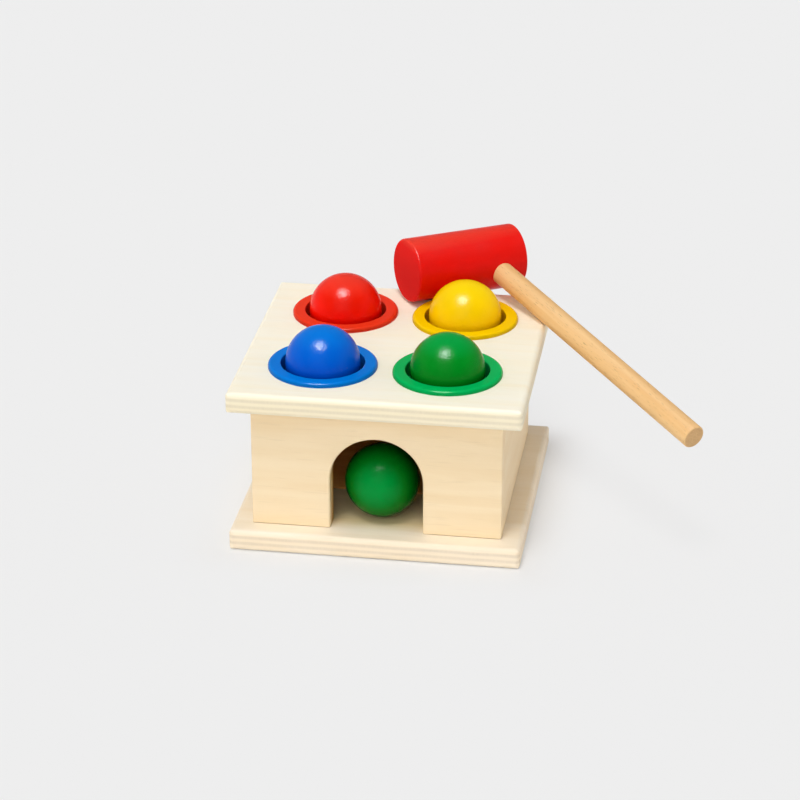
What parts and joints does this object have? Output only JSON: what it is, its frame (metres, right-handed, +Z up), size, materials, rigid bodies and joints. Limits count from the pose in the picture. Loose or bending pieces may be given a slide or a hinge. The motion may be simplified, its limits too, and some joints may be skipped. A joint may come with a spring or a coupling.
{
  "type": "ball pounding toy",
  "caption": "Square plywood box toy: lacquered balls seated in coloured collars are hammered down through springy grips and roll out of an arched doorway; a wooden hammer lies on top.",
  "frame": {"origin": "middle of the base plate's underside", "axes": "+Z up, -Y to the front with the doorway, +X to the right side that the hammer's handle hangs over"},
  "size_m": [0.2777, 0.2104, 0.1443],
  "materials": {
    "plywood": "sanded birch plywood under matte clear lacquer",
    "wall_wood": "sanded wood under matte clear lacquer",
    "inner_wood": "sanded bare wood",
    "red_plastic": "glossy moulded plastic",
    "yellow_plastic": "glossy moulded plastic",
    "blue_plastic": "glossy moulded plastic",
    "green_plastic": "glossy moulded plastic",
    "red_soft_plastic": "flexible satin plastic",
    "yellow_soft_plastic": "flexible satin plastic",
    "blue_soft_plastic": "flexible satin plastic",
    "green_soft_plastic": "flexible satin plastic",
    "red_lacquer": "opaque gloss lacquer on wood",
    "yellow_lacquer": "opaque gloss lacquer on wood",
    "blue_lacquer": "opaque gloss lacquer on wood",
    "green_lacquer": "opaque gloss lacquer on wood",
    "beech": "sanded beech under satin clear lacquer",
    "screw_steel": "zinc-plated steel"
  },
  "bodies": {
    "box": {"base_plate": "plywood", "top_plate": "plywood", "front_wall": "wall_wood", "back_wall": "wall_wood", "left_wall": "wall_wood", "right_wall": "wall_wood", "ramp_board": "inner_wood", "ramp_rest": "inner_wood", "left_guide": "inner_wood", "right_guide": "inner_wood", "red_collar": "red_plastic", "yellow_collar": "yellow_plastic", "blue_collar": "blue_plastic", "green_collar": "green_plastic", "red_grip": "red_soft_plastic", "yellow_grip": "yellow_soft_plastic", "blue_grip": "blue_soft_plastic", "green_grip": "green_soft_plastic", "base_screws": "screw_steel", "top_dowels": "beech", "corner_dowels": "beech"},
    "red_ball": {"red_ball": "red_lacquer"},
    "yellow_ball": {"yellow_ball": "yellow_lacquer"},
    "blue_ball": {"blue_ball": "blue_lacquer"},
    "green_ball": {"green_ball": "green_lacquer"},
    "doorway_ball": {"doorway_ball": "green_lacquer"},
    "hammer": {"hammer_head": "red_lacquer", "hammer_handle": "beech"}
  },
  "joints": [
    {"name": "red_ball_push", "type": "slide", "parent": "box", "child": "red_ball", "axis": [0, 0, 1], "range_m": [-0.054, 0.04], "deforming": ["red_grip"]},
    {"name": "yellow_ball_push", "type": "slide", "parent": "box", "child": "yellow_ball", "axis": [0, 0, 1], "range_m": [-0.054, 0.004], "deforming": ["yellow_grip"]},
    {"name": "blue_ball_push", "type": "slide", "parent": "box", "child": "blue_ball", "axis": [0, 0, 1], "range_m": [-0.047, 0.04], "deforming": ["blue_grip"]},
    {"name": "green_ball_push", "type": "slide", "parent": "box", "child": "green_ball", "axis": [0, 0, 1], "range_m": [-0.047, 0.04], "deforming": ["green_grip"]},
    {"name": "doorway_ball_roll", "type": "slide", "parent": "box", "child": "doorway_ball", "axis": [0, -1, 0], "range_m": [0, 0.033]},
    {"name": "hammer_lift", "type": "slide", "parent": "box", "child": "hammer", "axis": [0, 0, 1], "range_m": [0, 0.15]}
  ]
}
